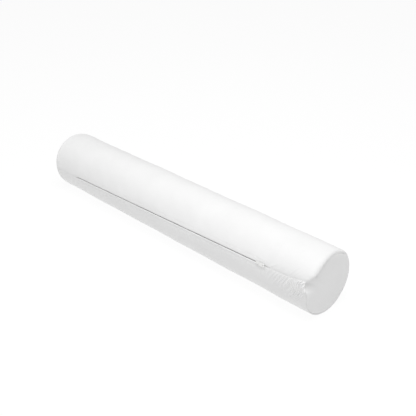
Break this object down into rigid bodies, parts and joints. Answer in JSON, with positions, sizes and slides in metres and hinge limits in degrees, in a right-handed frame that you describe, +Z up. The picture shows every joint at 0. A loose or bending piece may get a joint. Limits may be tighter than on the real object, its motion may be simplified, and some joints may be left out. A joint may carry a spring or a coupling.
{
  "type": "foam roller",
  "caption": "Long round foam roller in a removable white fabric cover, with sewn-in end panels and a lengthwise zip under a folded placket.",
  "frame": {"origin": "on the floor, at the middle of the flat that the roller lies on", "axes": "+X along the roller towards the end where the closed zip's slider is, +Z up, the zip on the -Y side"},
  "size_m": [0.9144, 0.1559, 0.1512],
  "materials": {
    "foam": "matte",
    "cover_fabric": "matte",
    "thread": "matte",
    "zip_tape": "matte",
    "zip_coil": "satin",
    "zip_metal": "satin"
  },
  "bodies": {
    "roller": {"foam_core": "foam", "sleeve_panel": "cover_fabric", "near_end_panel": "cover_fabric", "far_end_panel": "cover_fabric", "near_end_allowance": "cover_fabric", "far_end_allowance": "cover_fabric", "upper_lip": "cover_fabric", "lower_lip": "cover_fabric", "near_closing_seam": "cover_fabric", "far_closing_seam": "cover_fabric", "upper_topstitch": "thread", "lower_topstitch": "thread", "near_bar_tack": "thread", "far_bar_tack": "thread", "upper_tape": "zip_tape", "lower_tape": "zip_tape", "upper_coil": "zip_coil", "lower_coil": "zip_coil", "upper_top_stop": "zip_metal", "lower_top_stop": "zip_metal", "bottom_stop": "zip_metal"},
    "zip_slider": {"slider_body": "zip_metal"},
    "zip_pull": {"pull_tab": "zip_metal"}
  },
  "joints": [
    {"name": "zip_slide", "type": "slide", "parent": "roller", "child": "zip_slider", "axis": [0.9995, 0.0052, 0.0327], "range_m": [-0.646, 0], "deforming": ["upper_coil", "lower_coil"]},
    {"name": "pull_flip", "type": "hinge", "parent": "zip_slider", "child": "zip_pull", "pos_m": [0.318, -0.07707, 0.09823], "axis": [0.0331, -0.1563, -0.9871], "range_deg": [0, 170]}
  ]
}
